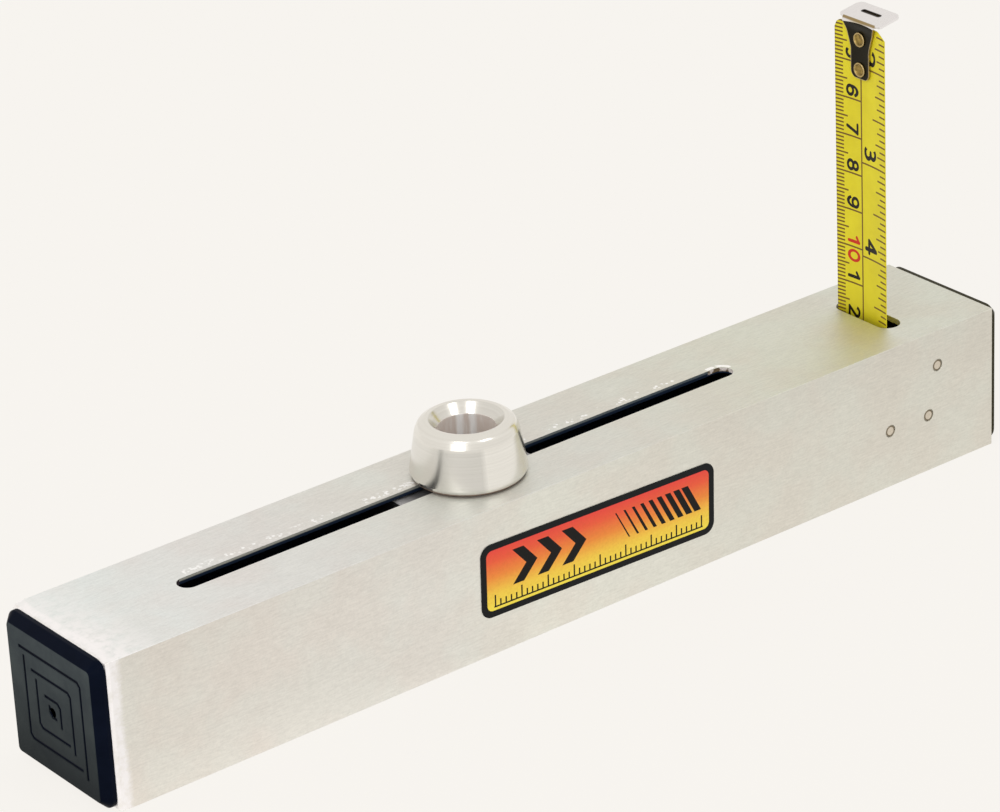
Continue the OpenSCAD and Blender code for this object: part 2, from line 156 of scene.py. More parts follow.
def grid_faces(rows, columns, close_rows=False, close_columns=False):
    """Quads of a grid of rows x columns points, each quad from a point to its next row and column."""
    r = np.arange(rows if close_rows else rows - 1)
    c = np.arange(columns if close_columns else columns - 1)
    r, c = (a.ravel() for a in np.meshgrid(r, c, indexing="ij"))
    r2, c2 = (r + 1) % rows, (c + 1) % columns
    return np.stack([r * columns + c, r2 * columns + c, r2 * columns + c2, r * columns + c2], axis=1)


def rounded_profile(corners, radii, steps):
    """A polyline through corners, each turned into an arc: the arc's ends lie radius * tan(turn / 2)
    from the corner along both sides, at most half way, and its points come from a quadratic curve."""
    half_way = 0.49
    points = [np.asarray(corners[0], float)]
    for before, here, after, radius in zip(corners, corners[1:], corners[2:], radii[1:]):
        before, here, after = (np.asarray(p, float) for p in (before, here, after))
        a, b = before - here, after - here
        la, lb = np.linalg.norm(a), np.linalg.norm(b)
        half_turn = (math.pi - math.acos(np.clip(a @ b / la / lb, -1, 1))) / 2
        reach = min(radius * math.tan(half_turn), la * half_way, lb * half_way)
        start, end = here + a / la * reach, here + b / lb * reach
        t = np.linspace(0, 1, steps)[:, None]
        points.extend((1 - t) ** 2 * start + 2 * t * (1 - t) * here + t ** 2 * end)
    points.append(np.asarray(corners[-1], float))
    return np.array(points)


def turned_points(profile, centre, axis, around):
    """A closed profile of (radius, height) turned about an axis through centre: each point goes round
    a circle of its radius, at its height along the axis."""
    angle = np.linspace(0, 2 * math.pi, around, endpoint=False)
    radius, height = profile[:, 0][:, None], profile[:, 1][:, None]
    first, second = radius * np.cos(angle), radius * np.sin(angle)
    along = np.broadcast_to(height, first.shape)
    order = {"Z": (first, second, along), "X": (along, first, second), "Y": (second, along, first)}[axis]
    return np.stack(order, axis=-1) + np.asarray(centre)


def turned_piece(name, profile, places, axis, around):
    """One or more equal turned pieces in one object. The profile is closed by itself, or its two ends
    lie on the axis, where the ring shrinks to a point."""
    points, faces, count = [], [], 0
    from_axis = profile[0][0] == 0
    for place in places:
        grid = turned_points(profile, place, axis, around)
        if from_axis:
            body = grid[1:-1]
            quads = grid_faces(len(body), around, close_columns=True)
            ring = np.arange(around)
            after = (ring + 1) % around
            pole = len(body) * around
            last_ring = pole - around
            first = np.stack([np.full(around, pole), ring, after], axis=1)
            last = np.stack([np.full(around, pole + 1), last_ring + after, last_ring + ring], axis=1)
            points.append(np.vstack([body.reshape(-1, 3), grid[0, 0], grid[-1, 0]]))
            faces += [*(quads[:, ::-1] + count), *(last + count), *(first + count)]
        else:
            points.append(grid.reshape(-1, 3))
            faces += [*(grid_faces(len(grid), around, close_rows=True, close_columns=True)[:, ::-1] + count)]
        count += len(points[-1])
    piece = make_piece(name, np.vstack(points), faces)
    face_outwards(piece.data)
    return piece


def face_outwards(mesh):
    """Turns the faces of a closed mesh so that they all point outwards."""
    work = bmesh.new()
    work.from_mesh(mesh)
    bmesh.ops.recalc_face_normals(work, faces=work.faces)
    work.to_mesh(mesh)
    work.free()


def give_material(mesh, material):
    """Leaves a mesh with one material."""
    mesh.materials.clear()
    mesh.materials.append(material)


def eased_copy(node, name, width, body, material):
    """A merged copy of a solid whose sharp edges are broken with a small bevel."""
    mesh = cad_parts[node].data.copy()
    mesh.name = name
    work = bmesh.new()
    work.from_mesh(mesh)
    bmesh.ops.remove_doubles(work, verts=work.verts, dist=1e-6)
    bmesh.ops.dissolve_limit(work, angle_limit=math.radians(0.4), verts=work.verts, edges=work.edges)
    work.to_mesh(mesh)
    work.free()
    finish_mesh(mesh, SHARP_ANGLE)
    give_material(mesh, material)
    piece = add_object(name, mesh)
    bevel = piece.modifiers.new("eased_edges", "BEVEL")
    bevel.width, bevel.segments, bevel.limit_method = width, 3, "ANGLE"
    bevel.angle_limit = math.radians(SHARP_ANGLE)
    bevel.use_clamp_overlap = False
    bevel.harden_normals = True
    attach(piece, body)
    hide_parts(node)
    return piece


# ---------------------------------------------------------------- shader helpers
def feed(socket, value):
    """Links an input to a socket, or sets it to a number or a tuple."""
    if isinstance(value, bpy.types.NodeSocket):
        socket.id_data.links.new(value, socket)
    else:
        socket.default_value = value


def feed_in_order(node, *values):
    """Feeds a node's inputs, one after the other."""
    for socket, value in zip(node.inputs, values):
        feed(socket, value)


def set_inputs(node, **inputs):
    """Feeds a node's inputs, each named by its socket."""
    for name, value in inputs.items():
        feed(node.inputs[name.replace("_", " ")], value)


def put(tree, kind, **inputs):
    """Adds a node to a tree and feeds its inputs."""
    node = tree.nodes.new(kind)
    set_inputs(node, **inputs)
    return node


def tree_of(*values):
    """The node tree that the first socket among some values belongs to."""
    return next(value.id_data for value in values if isinstance(value, bpy.types.NodeSocket))


def new_material(name):
    """Object coordinates in a new material's tree, in metres in the part's frame, and what finishes it."""
    material = bpy.data.materials.new(name)
    material.use_nodes = True
    nodes = material.node_tree.nodes
    place = nodes.new("ShaderNodeTexCoord").outputs["Object"]
    return place, partial(finish_material, material, nodes["Principled BSDF"])


def finish_material(material, shader, colour, rough, metallic=0.0, specular=0.5, relief=None):
    """Feeds a material's shader. A relief is a height with its strength and distance."""
    set_inputs(shader, Base_Color=colour, Roughness=rough, Metallic=metallic, Specular_IOR_Level=specular)
    if relief:
        height, strength, distance = relief
        bump = put(height.id_data, "ShaderNodeBump", Height=height, Strength=strength, Distance=distance)
        feed(shader.inputs["Normal"], bump.outputs[0])
    return material


def calc(operation, *values, clamp=False):
    """A Math node of up to three values, each a number or a socket."""
    node = tree_of(*values).nodes.new("ShaderNodeMath")
    node.operation, node.use_clamp = operation, clamp
    feed_in_order(node, *values)
    return node.outputs[0]


def over_all(operation):
    """A function that applies a Math operation to two or more values, from the left."""
    return lambda *values: reduce(partial(calc, operation), values)


times, plus, most = over_all("MULTIPLY"), over_all("ADD"), over_all("MAXIMUM")
minus, divided, times_plus = partial(calc, "SUBTRACT"), partial(calc, "DIVIDE"), partial(calc, "MULTIPLY_ADD")
above, below = partial(calc, "GREATER_THAN"), partial(calc, "LESS_THAN")
size_of, nearest, wrapped = partial(calc, "ABSOLUTE"), partial(calc, "ROUND"), partial(calc, "WRAP")


def hypot(a, b):
    """The length of two sides together: the root of the sum of their squares."""
    return calc("SQRT", plus(times(a, a), times(b, b)))


def apart(a, b):
    """How far two values lie from each other."""
    return size_of(minus(a, b))


def vec(operation, *values, scale=None):
    """A Vector Math node: its vector result, or the value of a length or a dot product."""
    node = tree_of(*values, scale).nodes.new("ShaderNodeVectorMath")
    node.operation = operation
    feed_in_order(node, *values)
    if scale is not None:
        feed(node.inputs["Scale"], scale)
    return node.outputs["Value" if operation in ("LENGTH", "DOT_PRODUCT") else "Vector"]


def scaled(vector, scale):
    """A vector or colour times a number."""
    return vec("SCALE", vector, scale=scale)


def parts_of(vector):
    """The three parts of a vector."""
    return tuple(put(vector.id_data, "ShaderNodeSeparateXYZ", Vector=vector).outputs)


def millimetres(place):
    """The three parts of a place, in mm."""
    return parts_of(scaled(place, 1 / MM))


def joined(x, y, z):
    """A vector from its three parts."""
    return put(tree_of(x, y, z), "ShaderNodeCombineXYZ", X=x, Y=y, Z=z).outputs[0]


def noise(place, scale, detail, rough=0.5):
    """A noise's value, mostly between 0.3 and 0.7."""
    node = put(place.id_data, "ShaderNodeTexNoise", Vector=place, Scale=scale, Detail=detail, Roughness=rough)
    return node.outputs[0]


def blend(share, first, second):
    """Mixes two colours, each a tuple or a socket, by a share from 0 to 1."""
    node = share.id_data.nodes.new("ShaderNodeMix")
    node.data_type = "RGBA"
    for index, value in ((0, share), (6, first), (7, second)):
        feed(node.inputs[index], value)
    return node.outputs[2]


def ramp(value, stops):
    """A colour ramp of (place, colour) stops."""
    node = value.id_data.nodes.new("ShaderNodeValToRGB")
    feed(node.inputs[0], value)
    elements = node.color_ramp.elements
    elements[0].position, elements[0].color = stops[0]
    elements[1].position, elements[1].color = stops[-1]
    for place, colour in stops[1:-1]:
        elements.new(place).color = colour
    return node.outputs[0]


def spread(value, low, high, to_low=0.0, to_high=1.0):
    """Maps a value's range onto another, held at both ends."""
    node = put(value.id_data, "ShaderNodeMapRange", Value=value, From_Min=low, From_Max=high)
    feed(node.inputs["To Min"], to_low)
    feed(node.inputs["To Max"], to_high)
    return node.outputs[0]


def fall(value, low, high):
    """1 up to the low end of a range and 0 from its high end, straight between them."""
    return spread(value, low, high, 1.0, 0.0)


def within(value, low, high):
    """1 where a value lies between two numbers."""
    return times(above(value, low), below(value, high))


def without(share, amount):
    """1, less an amount times a share."""
    return times_plus(share, -amount, 1.0)


def by_noise(value, to_low, to_high):
    """Maps a noise's usual range onto another."""
    return spread(value, 0.3, 0.7, to_low, to_high)


def new_group(name, inputs, outputs):
    """A node group with sockets of given kinds, and its input and output nodes' sockets."""
    group = bpy.data.node_groups.new(name, "ShaderNodeTree")
    for side, sockets in (("INPUT", inputs), ("OUTPUT", outputs)):
        for label, kind in sockets.items():
            group.interface.new_socket(label, in_out=side, socket_type="NodeSocket" + kind)
    return group, group.nodes.new("NodeGroupInput").outputs, group.nodes.new("NodeGroupOutput").inputs


def use_group(group, **inputs):
    """Places a group in the tree that its inputs come from, and gives its outputs."""
    node = tree_of(*inputs.values()).nodes.new("ShaderNodeGroup")
    node.node_tree = group
    set_inputs(node, **inputs)
    return node.outputs


# ---------------------------------------------------------------- shared effects
def make_streaks():
    """Brushing: noise stretched by its frequency along each axis, fine and coarse together."""
    group, given, result = new_group("brush_streaks", {"Place": "Vector", "Density": "Vector"},
                                     {"Streak": "Float", "Cloud": "Float"})
    feed(result["Streak"], noise(vec("MULTIPLY", given["Place"], given["Density"]), 1.0, 4.0, 0.65))
    feed(result["Cloud"], noise(given["Place"], 55.0, 3.0, 0.55))
    return group


def make_speckle():
    """Moulded skin: fine noise for the grain and a coarse one for handling marks."""
    group, given, result = new_group("moulded_skin", {"Place": "Vector"}, {"Grain": "Float", "Marks": "Float"})
    feed(result["Grain"], noise(given["Place"], 2600.0, 2.0, 0.6))
    feed(result["Marks"], noise(given["Place"], 120.0, 4.0, 0.6))
    return group


def make_rings():
    """Turning marks: fine noise over the distance to the axis and the height, from an offset from a point
    on that axis."""
    group, given, result = new_group("turned_rings", {"Offset": "Vector", "Scale": "Float"}, {"Ring": "Float"})
    x, y, z = parts_of(given["Offset"])
    feed(result["Ring"], noise(joined(hypot(x, y), 0.0, z), given["Scale"], 3.0, 0.6))
    return group


brush_streaks = make_streaks()
moulded_skin = make_speckle()
turned_rings = make_rings()


# ---------------------------------------------------------------- metals
# how far a relief stands out at full strength, in m
FINE, COARSE = 0.00003, 0.00004
# places in mm: the knob's slot, the low and high edge of its wall, where the light painted on that wall's end starts,
# the tube's inside (half its width, its floor and ceiling), the caps' outer faces, the knob's bore
SLOT_X, SLOT_L, SLOT_W = -19.3, 166.2, 5.6
SLOT_WALL_Z = (36.45, 37.95)
SLOT_END = 58.8
INSIDE_Y, INSIDE_Z = 17.5, (1.5, 36.55)
CAP_FACE = 138.28
BORE_R = 6.96
# the width in mm over which a pin's ring fades
PIN_RING = 0.13
# colours along the tube, from the knob's end (0) to the tape's end (1): the metal's tone with painted light, paler
# and cooler towards the knob, the top and the sides lit differently
TOP_LIT_TONES = [(0.055, (0.855, 0.883, 0.878, 1)), (0.15, (0.83, 0.825, 0.814, 1)), (0.24, (0.807, 0.803, 0.785, 1)),
             (0.33, (0.798, 0.80, 0.766, 1)), (0.54, (0.768, 0.763, 0.72, 1)), (0.76, (0.76, 0.761, 0.685, 1)),
             (0.96, (0.752, 0.758, 0.69, 1))]
SIDE_LIT_TONES = [(0.055, (0.829, 0.805, 0.752, 1)), (0.15, (0.841, 0.815, 0.766, 1)), (0.33, (0.833, 0.82, 0.776, 1)),
              (0.45, (0.836, 0.828, 0.762, 1)), (0.685, (0.763, 0.748, 0.684, 1)), (0.96, (0.743, 0.73, 0.663, 1))]


def brushed_metal(name, colour, dark, density):
    """Brushed metal: streaks change its colour, its gloss and its relief a little."""
    place, finish = new_material(name)
    marks = use_group(brush_streaks, Place=place, Density=density)
    share = times_plus(marks["Streak"], 0.6, times(marks["Cloud"], 0.4))
    return finish(blend(spread(share, 0.34, 0.64), dark, colour), by_noise(marks["Streak"], 0.42, 0.28), metallic=1.0,
                  relief=(marks["Streak"], 0.10, COARSE))


def slot_distance(x, y):
    """Distance in mm from the edge of the knob's slot, a straight slot with round ends, negative inside."""
    beyond = most(minus(apart(x, SLOT_X), SLOT_L / 2 - SLOT_W / 2), 0.0)
    return minus(hypot(beyond, y), SLOT_W / 2)


def pin_rings(x, z, offset):
    """1 in a narrow ring at an offset from each cross pin's edge."""
    reaches = (hypot(minus(x, pin_x / MM), minus(z, pin_z / MM)) for pin_x, pin_z in PIN_PLACES)
    return most(*(fall(apart(reach, PIN_R / MM + offset), PIN_RING, PIN_RING * 2) for reach in reaches))


def pin_finish():
    """The cross pins: dull steel ends with a pale edge and a brown ring of painted shade inside it."""
    place, finish = new_material("pin_steel")
    x, _, z = millimetres(place)
    speck = noise(place, 1200.0, 3.0)
    steel = blend(speck, (0.58, 0.51, 0.41, 1), (0.76, 0.69, 0.58, 1))
    steel = blend(pin_rings(x, z, 0.0), steel, (0.88, 0.86, 0.82, 1))
    # painted shade: a brown ring inside each pin's edge
    ring = times(pin_rings(x, z, -0.34), 0.85)
    return finish(blend(ring, steel, (0.13, 0.095, 0.045, 1)), by_noise(speck, 0.35, 0.5), metallic=0.8)


def dots_of(place, per_metre, radius, kept):
    """Small round dots: near the nearest of scattered points, in a share of its cells."""
    cells = put(place.id_data, "ShaderNodeTexVoronoi", Vector=place, Scale=per_metre).outputs
    dot = fall(cells["Distance"], radius, radius + 0.12)
    return times(dot, below(parts_of(cells["Color"])[0], kept))


def tube_finish():
    """The tube: brushed along X and mottled; painted light makes it paler and cooler towards the knob, gives the top
    and sides tones of their own and darkens the sides near the top; bright from grinding and a painted sheen at the
    knob end, painted glints beside the slot, painted shade in the slot and inside."""
    place, finish = new_material("brushed_tube")
    x, y, z = millimetres(place)
    marks = use_group(brush_streaks, Place=place, Density=(330.0, 2300.0, 2300.0))
    speck = noise(place, 1500.0, 3.0, 0.7)
    mottle = noise(place, 420.0, 3.0, 0.6)
    share = times_plus(marks["Cloud"], 0.25, times_plus(marks["Streak"], 0.4, times(speck, 0.35)))
    along = spread(x, -135.0, 135.0)
    on_top = above(z, TUBE_TOP / MM - 0.2)
    # painted light: the top and the sides take separate lit tones along the tube
    colour = blend(on_top, ramp(along, SIDE_LIT_TONES), ramp(along, TOP_LIT_TONES))
    tint = blend(spread(marks["Cloud"], 0.42, 0.58), (1.012, 0.996, 0.992, 1), (0.992, 1.003, 1.004, 1))
    # painted shade: the sides a little lighter low down and darker near the top
    level = times(spread(z, 3.0, 14.0, 1.025, 1.0), spread(z, 22.0, 36.0, 1.0, 0.965))
    colour = scaled(vec("MULTIPLY", colour, tint), most(level, on_top))
    colour = scaled(colour, spread(share, 0.38, 0.62, 0.925, 1.06))

    # the knob end: painted highlight and grinding make it bright, and a pale sheen is painted over the top beyond it;
    # both have a ragged edge
    ragged = times_plus(speck, 2.4, times_plus(marks["Cloud"], 3.0, x))
    # painted highlight: a pale sheen over the top near the knob end
    fade = times(on_top, spread(ragged, -128.5, -116.0, 0.95, 0.0), spread(y, -8.0, 16.0, 1.0, 0.5),
                 spread(mottle, 0.38, 0.56, 0.3, 1.0))
    ground_and_sheen = times(fall(ragged, -129.9, -128.4), spread(mottle, 0.35, 0.55, 0.66, 1.0))
    ground_and_sheen = most(ground_and_sheen, fade)
    colour = blend(ground_and_sheen, colour, (1.0, 0.985, 0.995, 1))
    rough = times_plus(ground_and_sheen, 0.1, by_noise(marks["Streak"], 0.58, 0.50))

    # painted highlights: white flecks glinting along the slot's far side and a glint round its end, both a little
    # rougher
    edge = slot_distance(x, y)
    busy = most(spread(x, -97.0, -86.0, 1.0, 0.42), spread(x, -50.0, -38.0, 0.42, 1.0))
    flecks = dots_of(place, 1050.0, 0.42, times(busy, spread(x, -32.0, -30.0, 1.15, 0.2)))
    beside = times(fall(apart(edge, 1.9), 0.5, 1.5), within(x, -98.0, 50.0), above(y, 2.0))
    glint = times(within(edge, 0.12, 1.25), within(x, SLOT_END, 64.8), above(y, 0.8),
                  above(apart(times_plus(speck, 0.8, x), 62.0), 0.35))
    # painted highlights: the flecks and the glint, white on the top
    painted_glints = times(most(times(beside, flecks), glint), on_top)
    colour = blend(painted_glints, colour, (1.0, 1.0, 1.0, 1))
    rough = times_plus(painted_glints, 0.2, rough)

    # the slot's wall, painted light and shade: pale near its top on the left, darker to the right, dark blue below,
    # dark at the left end, mottled light and dark at the right end
    in_slot = times(below(edge, 0.2), within(z, *SLOT_WALL_Z))
    wall = blend(spread(x, -75.0, 35.0), (0.46, 0.45, 0.38, 1), (0.12, 0.145, 0.16, 1))
    wall = blend(fall(z, 37.25, 37.5), wall, (0.012, 0.022, 0.045, 1))
    wall = blend(below(x, -100.4), wall, (0.06, 0.045, 0.05, 1))
    # painted light and shade on the slot's right end wall
    end_light_and_shade = blend(spread(mottle, 0.46, 0.56), (0.20, 0.14, 0.08, 1), (0.95, 0.86, 0.80, 1))
    wall = blend(times(above(x, SLOT_END), above(z, 37.0)), wall, end_light_and_shade)
    colour = blend(in_slot, colour, wall)
    # painted shade: the tube's inside dark blue and rougher
    inside = times(below(size_of(y), INSIDE_Y), within(z, *INSIDE_Z))
    return finish(blend(inside, colour, (0.03, 0.045, 0.075, 1)), times_plus(inside, 0.2, rough),
                  metallic=without(in_slot, 1.0), specular=0.1, relief=(marks["Streak"], 0.05, FINE))


def block_finish():
    """The slider block: a dull milled top, which shows in the slot and has painted shade darkening it near the knob,
    and sides painted near black as shade."""
    place, finish = new_material("milled_block")
    x, _, z = parts_of(place)
    marks = use_group(brush_streaks, Place=place, Density=(900.0, 90.0, 900.0))
    milled = blend(spread(marks["Streak"], 0.34, 0.64), (0.42, 0.405, 0.40, 1), (0.52, 0.505, 0.495, 1))
    # painted shade: the top darker near the knob
    milled = scaled(milled, spread(apart(x, KNOB_X), 14.5 * MM, 19.5 * MM, 0.3, 1.1))
    on_top = above(z, slider_high[2] - 0.35 * MM)
    # painted shade: the sides near black
    return finish(blend(on_top, (0.02, 0.02, 0.022, 1), milled), by_noise(marks["Cloud"], 0.5, 0.6), metallic=0.15,
                  relief=(marks["Streak"], 0.10, COARSE))


def turned_metal(name, colour, dark, rough):
    """Turned metal: fine rings round the knob's axis change its colour and its relief a little."""
    place, finish = new_material(name)
    rings = use_group(turned_rings, Offset=vec("SUBTRACT", place, (KNOB_X, 0.0, 0.0)), Scale=2600.0)["Ring"]
    return finish(blend(spread(rings, 0.35, 0.65), dark, colour),
                  by_noise(noise(place, 160.0, 4.0), rough * 0.85, rough * 1.3), metallic=1.0,
                  relief=(rings, 0.015, FINE))


def facing(x, y, radius, degrees, wide, soft):
    """1 on the side of the axis that faces an angle, within a half width: the cosine of the angle between."""
    turn = math.radians(degrees)
    along = divided(plus(times(x, math.cos(turn)), times(y, math.sin(turn))), most(radius, 0.1))
    return spread(along, math.cos(math.radians(wide + soft)), math.cos(math.radians(wide - soft)))


def knob_finish():
    """The knob: fine turned rings, with painted shade on the flank facing the front, a little on its left and in the
    dish, and a bore whose wall is brown with painted highlights in bright streaks up it."""
    place, finish = new_material("turned_knob")
    offset = scaled(vec("SUBTRACT", place, (KNOB_X, 0.0, KNOB_Z)), 1 / MM)
    x, y, z = parts_of(offset)
    radius = hypot(x, y)
    rings = use_group(turned_rings, Offset=offset, Scale=2.6)["Ring"]
    colour = blend(spread(rings, 0.35, 0.65), (0.82, 0.80, 0.752, 1), (0.87, 0.855, 0.81, 1))
    side = times(above(radius, 11.5), fall(z, 9.6, 10.8))
    front_shade = times(side, facing(x, y, radius, -135.0, 24.0, 3.0))
    left = times(side, facing(x, y, radius, -190.0, 28.0, 5.0))
    in_dish = times(within(radius, BORE_R, 9.1), above(z, 10.0))
    # painted shade: the flank facing the front, the left side and the dish darkened
    for share, darker in ((front_shade, 0.20), (left, 0.08), (in_dish, 0.1)):
        colour = scaled(colour, without(share, darker))

    in_bore = below(radius, BORE_R)
    off_axis = most(radius, 0.1)
    streak = noise(joined(divided(x, off_axis), divided(y, off_axis), times(z, 0.02)), 9.0, 4.0, 0.65)
    # painted highlights: two bright bands up the bore's wall, with streaks
    lit = most(facing(x, y, radius, 66.6, 6.0, 4.0), facing(x, y, radius, 40.6, 5.0, 4.0))
    lit = calc("ADD", spread(streak, 0.35, 0.65, -0.25, 0.3), lit, clamp=True)
    wall = blend(lit, (0.74, 0.66, 0.60, 1), (1.0, 1.0, 0.985, 1))
    return finish(blend(in_bore, colour, wall), times_plus(in_bore, 0.1, by_noise(streak, 0.2, 0.25)),
                  metallic=without(in_bore, 0.7), relief=(rings, 0.02, FINE))


def washer_finish():
    """The washer under the knob: dark brown with dirt."""
    place, finish = new_material("washer_steel")
    speck = noise(place, 900.0, 3.0)
    return finish(blend(speck, (0.17, 0.118, 0.088, 1), (0.275, 0.205, 0.158, 1)), by_noise(speck, 0.5, 0.65),
                  specular=0.2)


def rivet_finish():
    """Brass rivets: bright rolled rims, and a tarnished dish inside each, by the distance to its axis."""
    place, finish = new_material("rivet_brass")
    offsets = (vec("SUBTRACT", place, (0.0, 0.0, HOOK_Z - drop)) for drop in RIVET_DROPS)
    reaches = (vec("LENGTH", vec("MULTIPLY", offset, (0.0, 1.0, 1.0))) for offset in offsets)
    dish = most(*(fall(reach, 1.4 * MM, 1.62 * MM) for reach in reaches))
    stain = noise(place, 900.0, 4.0)
    rim = blend(stain, (0.44, 0.31, 0.12, 1), (0.60, 0.46, 0.22, 1))
    deep = blend(spread(stain, 0.35, 0.65), (0.17, 0.115, 0.032, 1), (0.40, 0.275, 0.078, 1))
    return finish(blend(dish, rim, deep), by_noise(stain, 0.2, 0.36), metallic=1.0, relief=(stain, 0.08, COARSE))


def kept_value(place, name):
    """A length that a mesh keeps with each point, in the tree that a place belongs to."""
    node = put(place.id_data, "ShaderNodeAttribute")
    node.attribute_name = name
    return node.outputs["Fac"]


def hook_finish(name, leg_end, bend_end, slit, rubbed):
    """The hook: a bright plate and bend with a tan line between them and painted shade round the slit, darkening a
    band wider than the cut, and a glossy black leg, whose side edges are rubbed through to tan metal. The black ends
    in an arch under the bend.
    Lengths are in mm along the sheet from the leg's foot, and in from its side edge."""
    place, finish = new_material(name)
    run, edge = kept_value(place, "sheet_run"), kept_value(place, "sheet_edge")
    _, y, _ = millimetres(place)
    marks = use_group(brush_streaks, Place=place, Density=(500.0, 1500.0, 1500.0))

    bright = blend(marks["Streak"], (0.82, 0.80, 0.805, 1), (0.90, 0.88, 0.885, 1))
    middle = times(spread(size_of(y), 1.2, 4.2, 0.75, 0.0), below(run, bend_end))
    bright = blend(middle, bright, (0.60, 0.50, 0.32, 1))
    line = times(spread(apart(run, bend_end - 0.32), 0.2, 0.42, 0.95, 0.0), below(size_of(y), 5.7))
    bright = blend(line, bright, (0.34, 0.24, 0.10, 1))
    slit_s, slit_y, slit_l, slit_w = slit
    beyond = most(minus(apart(y, slit_y), (slit_l - slit_w) / 2), 0.0)
    # painted shade: a dark band round the slit
    slit_shade = fall(hypot(beyond, minus(run, slit_s)), slit_w / 2 + 0.32, slit_w / 2 + 0.48)
    bright = blend(slit_shade, bright, (0.020, 0.012, 0.008, 1))

    leg = tan = (0.46, 0.36, 0.21, 1)
    if not rubbed:
        worn = fall(times_plus(marks["Cloud"], 0.16, edge), 0.16, 0.30)
        leg = blend(worn, blend(marks["Streak"], (0.009, 0.007, 0.002, 1), (0.016, 0.012, 0.004, 1)), tan)
    across = times(y, 1 / 5.5)
    arch = times_plus(times(across, across), -0.4, leg_end + 0.3)
    on_leg = below(run, times_plus(across, -0.2, arch))
    return finish(blend(on_leg, bright, leg), by_noise(marks["Cloud"], 0.24, 0.36),
                  metallic=without(on_leg, 0.0 if rubbed else 0.9), specular=0.1,
                  relief=(marks["Streak"], 0.03, FINE))


# ---------------------------------------------------------------- plastics
def moulded_plastic(name, colour, worn):
    """Moulded plastic: a fine grain, and paler handling marks here and there."""
    place, finish = new_material(name)
    skin = use_group(moulded_skin, Place=place)
    return finish(blend(spread(skin["Marks"], 0.45, 0.8), colour, worn), by_noise(skin["Marks"], 0.34, 0.5),
                  specular=0.3, relief=(skin["Grain"], 0.08, FINE))


def cap_finish():
    """The end caps: a dull, finely grained grey-black face, painted lighter towards the top as light, inside smooth
    black bevels, which are painted olive as light on the tape-end cap.
    """
    place, finish = new_material("cap_plastic")
    x, _, z = millimetres(place)
    skin = use_group(moulded_skin, Place=place)
    face = above(size_of(x), CAP_FACE)
    tone = spread(skin["Marks"], 0.35, 0.7)
    dull = blend(tone, (0.027, 0.033, 0.036, 1), (0.042, 0.050, 0.051, 1))
    # painted light: the face lighter towards the top
    dull = scaled(dull, spread(z, 3.0, 34.0, 0.63, 1.6))
    smooth = blend(tone, (0.0012, 0.0030, 0.0095, 1), (0.0025, 0.005, 0.014, 1))
    # painted light: the tape-end cap's bevels olive
    smooth = blend(above(x, 0.0), smooth, (0.045, 0.04, 0.022, 1))
    return finish(blend(face, smooth, dull), times_plus(face, 0.22, by_noise(skin["Marks"], 0.32, 0.4)),
                  specular=0.035, relief=(times(skin["Grain"], face), 0.15, COARSE))


# ---------------------------------------------------------------- printed tape
# Each figure's rings and bars in a box one unit high: rings are ellipses (centre, radii) kept only on one
# side of a line (its normal and distance from the ring's centre), bars run from point to point.
FIGURES = {
    0: ([((0, 0), (0.24, 0.41), None)], []),
    1: ([], [((0.08, -0.43), (0.08, 0.43)), ((0.08, 0.42), (-0.16, 0.22))]),
    2: ([((0, 0.2), (0.22, 0.215), ((0.5, 1.0), -0.1))],
        [((0.17, 0.07), (-0.2, -0.41)), ((-0.2, -0.41), (0.24, -0.41))]),
    3: ([((-0.01, 0.21), (0.19, 0.205), ((1.0, 0.45), -0.1)),
         ((-0.01, -0.19), (0.225, 0.225), ((1.0, -0.45), -0.11))],
        [((-0.04, 0.02), (0.04, 0.02))]),
    4: ([], [((0.1, -0.42), (0.1, 0.42)), ((-0.25, -0.17), (0.24, -0.17)), ((0.09, 0.41), (-0.24, -0.16))]),
    5: ([((0, -0.15), (0.22, 0.265), ((1.0, -0.35), -0.11))],
        [((-0.14, 0.41), (0.2, 0.41)), ((-0.15, 0.4), (-0.18, 0.03))]),
    6: ([((0, -0.17), (0.22, 0.24), None), ((0.02, 0), (0.245, 0.415), ((-0.7, 1.0), 0.02))], []),
    7: ([], [((-0.22, 0.41), (0.22, 0.41)), ((0.2, 0.38), (-0.06, -0.43))]),
    8: ([((0, 0.21), (0.185, 0.2), None), ((0, -0.19), (0.22, 0.225), None)], []),
    9: ([((0, 0.17), (0.22, 0.24), None), ((-0.02, 0), (0.245, 0.415), ((0.7, -1.0), 0.02))], []),
}
# half a stroke's width in that box
STROKE = 0.086


def bar_mask(place, start, end):
    """1 within a stroke's half width of the line from start to end: the distance to its nearest point."""
    run = (end[0] - start[0], end[1] - start[1])
    span = run[0] ** 2 + run[1] ** 2
    offset = vec("SUBTRACT", place, (*start, 0.0))
    share = calc("ADD", vec("DOT_PRODUCT", offset, (run[0] / span, run[1] / span, 0.0)), 0.0, clamp=True)
    return below(vec("LENGTH", vec("SUBTRACT", offset, scaled((*run, 0.0), share))), STROKE)


def ring_mask(place, centre, radii, side):
    """1 within a stroke's half width of an ellipse, and on the kept side of the line."""
    offset = vec("SUBTRACT", place, (*centre, 0.0))
    reach = vec("LENGTH", vec("MULTIPLY", offset, (1 / radii[0], 1 / radii[1], 1.0)))
    mask = below(apart(reach, 1.0), STROKE / (radii[0] * 0.6 + radii[1] * 0.4))
    if side is None:
        return mask
    normal, start = side
    return times(mask, above(vec("DOT_PRODUCT", offset, (*normal, 0.0)), start))


